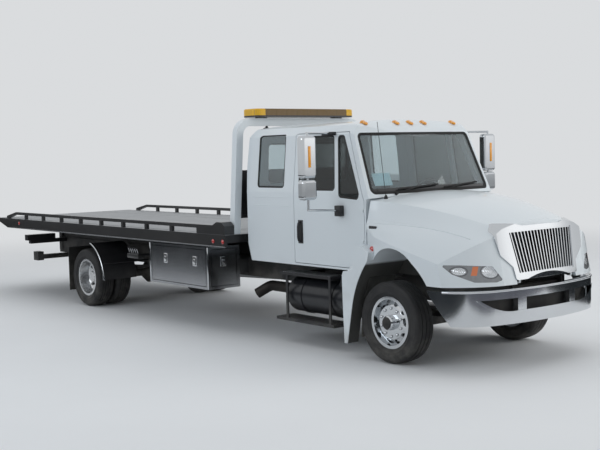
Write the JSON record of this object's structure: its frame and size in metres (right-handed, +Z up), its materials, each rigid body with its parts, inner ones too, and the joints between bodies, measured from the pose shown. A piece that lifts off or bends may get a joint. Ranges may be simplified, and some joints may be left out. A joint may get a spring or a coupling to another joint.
{
  "type": "rollback tow truck",
  "caption": "Two-axle tow truck with a crew cab, sloping hood, tilting and sliding flat bed, low side rails, light hoop, winch and stowed wheel lift.",
  "frame": {"origin": "on the ground, under the centre of the bounding box", "axes": "+X towards the front bumper, +Y to the driver's left, +Z up"},
  "size_m": [10.3399, 2.98, 2.6799],
  "materials": {
    "white_paint": "gloss, faint blue white",
    "black_paint": "satin black",
    "bright_metal": "polished",
    "polished_aluminium": "polished sheet",
    "steel": "machined",
    "cast": "cast, dark",
    "tyre": "matt",
    "rubber": "matt",
    "glass": "clear, smoked",
    "lens": "clear lamp lens",
    "amber": "amber lamp lens",
    "trim": "grained",
    "cloth": "woven seat cloth"
  },
  "bodies": {
    "chassis": {"battery_box": "trim", "cab_glass": "glass", "cab_shell": "white_paint", "chassis_frame": "black_paint", "dashboard": "trim", "driveshaft": "steel", "engine": "cast", "exhaust": "steel", "front_axle": "cast", "front_bumper": "bright_metal", "fuel_tank": "trim", "leaf_springs": "cast", "mud_flaps": "rubber", "quarter_fenders": "bright_metal", "radiator": "cast", "rear_axle": "cast", "seats": "cloth", "splash_panels": "trim", "steps": "trim", "tail_beam": "black_paint", "toolboxes": "polished_aluminium"},
    "hood_body": {"hood": "white_paint", "headlights": "lens", "grille": "bright_metal"},
    "door_right_body": {"door_right": "white_paint", "door_glass_right": "glass", "mirror_right": "bright_metal"},
    "door_left_body": {"door_left": "white_paint", "door_glass_left": "glass", "mirror_left": "bright_metal"},
    "knuckle_right_body": {"knuckle_right": "cast"},
    "knuckle_left_body": {"knuckle_left": "cast"},
    "front_wheel_right_body": {"front_wheel_right": "bright_metal", "front_tyre_right": "tyre"},
    "front_wheel_left_body": {"front_wheel_left": "bright_metal", "front_tyre_left": "tyre"},
    "rear_wheels_right_body": {"rear_wheels_right": "polished_aluminium", "rear_tyres_right": "tyre"},
    "rear_wheels_left_body": {"rear_wheels_left": "polished_aluminium", "rear_tyres_left": "tyre"},
    "carriage": {"tilt_frame": "black_paint"},
    "bed": {"bed_deck": "black_paint", "side_rails": "black_paint", "hoop": "white_paint", "cab_guard": "black_paint", "light_bar": "amber", "winch": "black_paint", "slide_rod": "steel"},
    "winch_drum_body": {"winch_drum": "steel"},
    "tilt_barrels_body": {"tilt_cylinder_barrels": "black_paint"},
    "tilt_rods_body": {"tilt_cylinder_rods": "steel"},
    "lift_boom_body": {"lift_boom": "black_paint"},
    "lift_stinger_body": {"lift_stinger": "steel"},
    "lift_crossbar_body": {"lift_crossbar": "black_paint"},
    "toolbox_door_right_body": {"toolbox_door_right": "polished_aluminium"},
    "toolbox_door_left_body": {"toolbox_door_left": "polished_aluminium"},
    "toolbox_end_door_right_body": {"toolbox_end_door_right": "polished_aluminium"},
    "toolbox_end_door_left_body": {"toolbox_end_door_left": "polished_aluminium"}
  },
  "joints": [
    {"name": "hood_tilt", "type": "hinge", "parent": "chassis", "child": "hood_body", "pos_m": [5.1, 0, 0.872], "axis": [0, 1, 0], "range_deg": [0, 65]},
    {"name": "door_right_swing", "type": "hinge", "parent": "chassis", "child": "door_right_body", "pos_m": [3.54, -0.94, 1.36], "axis": [0, 0, 1], "range_deg": [0, 65]},
    {"name": "door_left_swing", "type": "hinge", "parent": "chassis", "child": "door_left_body", "pos_m": [3.54, 0.94, 1.36], "axis": [0, 0, -1], "range_deg": [0, 65]},
    {"name": "steer_right", "type": "hinge", "parent": "chassis", "child": "knuckle_right_body", "pos_m": [3.97, -0.79, 0.417], "axis": [0, 0, 1], "range_deg": [-34, 34]},
    {"name": "steer_left", "type": "hinge", "parent": "chassis", "child": "knuckle_left_body", "pos_m": [3.97, 0.79, 0.417], "axis": [0, 0, 1], "range_deg": [-34, 34]},
    {"name": "front_wheel_right_spin", "type": "hinge", "parent": "knuckle_right_body", "child": "front_wheel_right_body", "pos_m": [3.97, -0.92, 0.417], "axis": [0, 1, 0], "continuous": true},
    {"name": "front_wheel_left_spin", "type": "hinge", "parent": "knuckle_left_body", "child": "front_wheel_left_body", "pos_m": [3.97, 0.92, 0.417], "axis": [0, 1, 0], "continuous": true},
    {"name": "rear_wheels_right_spin", "type": "hinge", "parent": "chassis", "child": "rear_wheels_right_body", "pos_m": [-2.19, -0.927, 0.417], "axis": [0, 1, 0], "continuous": true},
    {"name": "rear_wheels_left_spin", "type": "hinge", "parent": "chassis", "child": "rear_wheels_left_body", "pos_m": [-2.19, 0.927, 0.417], "axis": [0, 1, 0], "continuous": true},
    {"name": "bed_tilt", "type": "hinge", "parent": "chassis", "child": "carriage", "pos_m": [-4.48, 0, 0.905], "axis": [0, -1, 0], "range_deg": [0, 15.5]},
    {"name": "bed_slide", "type": "slide", "parent": "carriage", "child": "bed", "axis": [-1, 0, 0], "range_m": [0, 3.5]},
    {"name": "winch_spin", "type": "hinge", "parent": "bed", "child": "winch_drum_body", "pos_m": [1.05, 0, 1.345], "axis": [0, 1, 0], "continuous": true},
    {"name": "tilt_barrel_swing", "type": "hinge", "parent": "chassis", "child": "tilt_barrels_body", "pos_m": [-0.33, 0, 0.665], "axis": [0, 1, 0], "range_deg": [0, 25.5]},
    {"name": "tilt_rod_stroke", "type": "slide", "parent": "tilt_barrels_body", "child": "tilt_rods_body", "axis": [-0.982, 0, 0.1888], "range_m": [0, 0.42]},
    {"name": "lift_tilt", "type": "hinge", "parent": "chassis", "child": "lift_boom_body", "pos_m": [-3.38, 0, 0.53], "axis": [0, 1, 0], "range_deg": [-10, 0]},
    {"name": "lift_extension", "type": "slide", "parent": "lift_boom_body", "child": "lift_stinger_body", "axis": [1, 0, 0], "range_m": [-1, 0]},
    {"name": "crossbar_swivel", "type": "hinge", "parent": "lift_stinger_body", "child": "lift_crossbar_body", "pos_m": [-4.67, 0, 0.53], "axis": [0, 0, 1], "range_deg": [-20, 20]},
    {"name": "toolbox_right_drop", "type": "hinge", "parent": "chassis", "child": "toolbox_door_right_body", "pos_m": [0.27, -1.154, 0.547], "axis": [1, 0, 0], "range_deg": [0, 90]},
    {"name": "toolbox_left_drop", "type": "hinge", "parent": "chassis", "child": "toolbox_door_left_body", "pos_m": [0.27, 1.154, 0.547], "axis": [-1, 0, 0], "range_deg": [0, 90]},
    {"name": "toolbox_end_right_swing", "type": "hinge", "parent": "chassis", "child": "toolbox_end_door_right_body", "pos_m": [0.947, -0.75, 0.761], "axis": [0, 0, 1], "range_deg": [0, 90]},
    {"name": "toolbox_end_left_swing", "type": "hinge", "parent": "chassis", "child": "toolbox_end_door_left_body", "pos_m": [0.947, 0.75, 0.761], "axis": [0, 0, -1], "range_deg": [0, 90]}
  ],
  "couplings": [
    {"joint": "steer_left", "follows": "steer_right", "ratio": 1},
    {"joint": "tilt_barrel_swing", "follows": "bed_tilt", "ratio": 1.6022},
    {"joint": "tilt_rod_stroke", "follows": "bed_tilt", "m_per_rad": 1.5095}
  ]
}
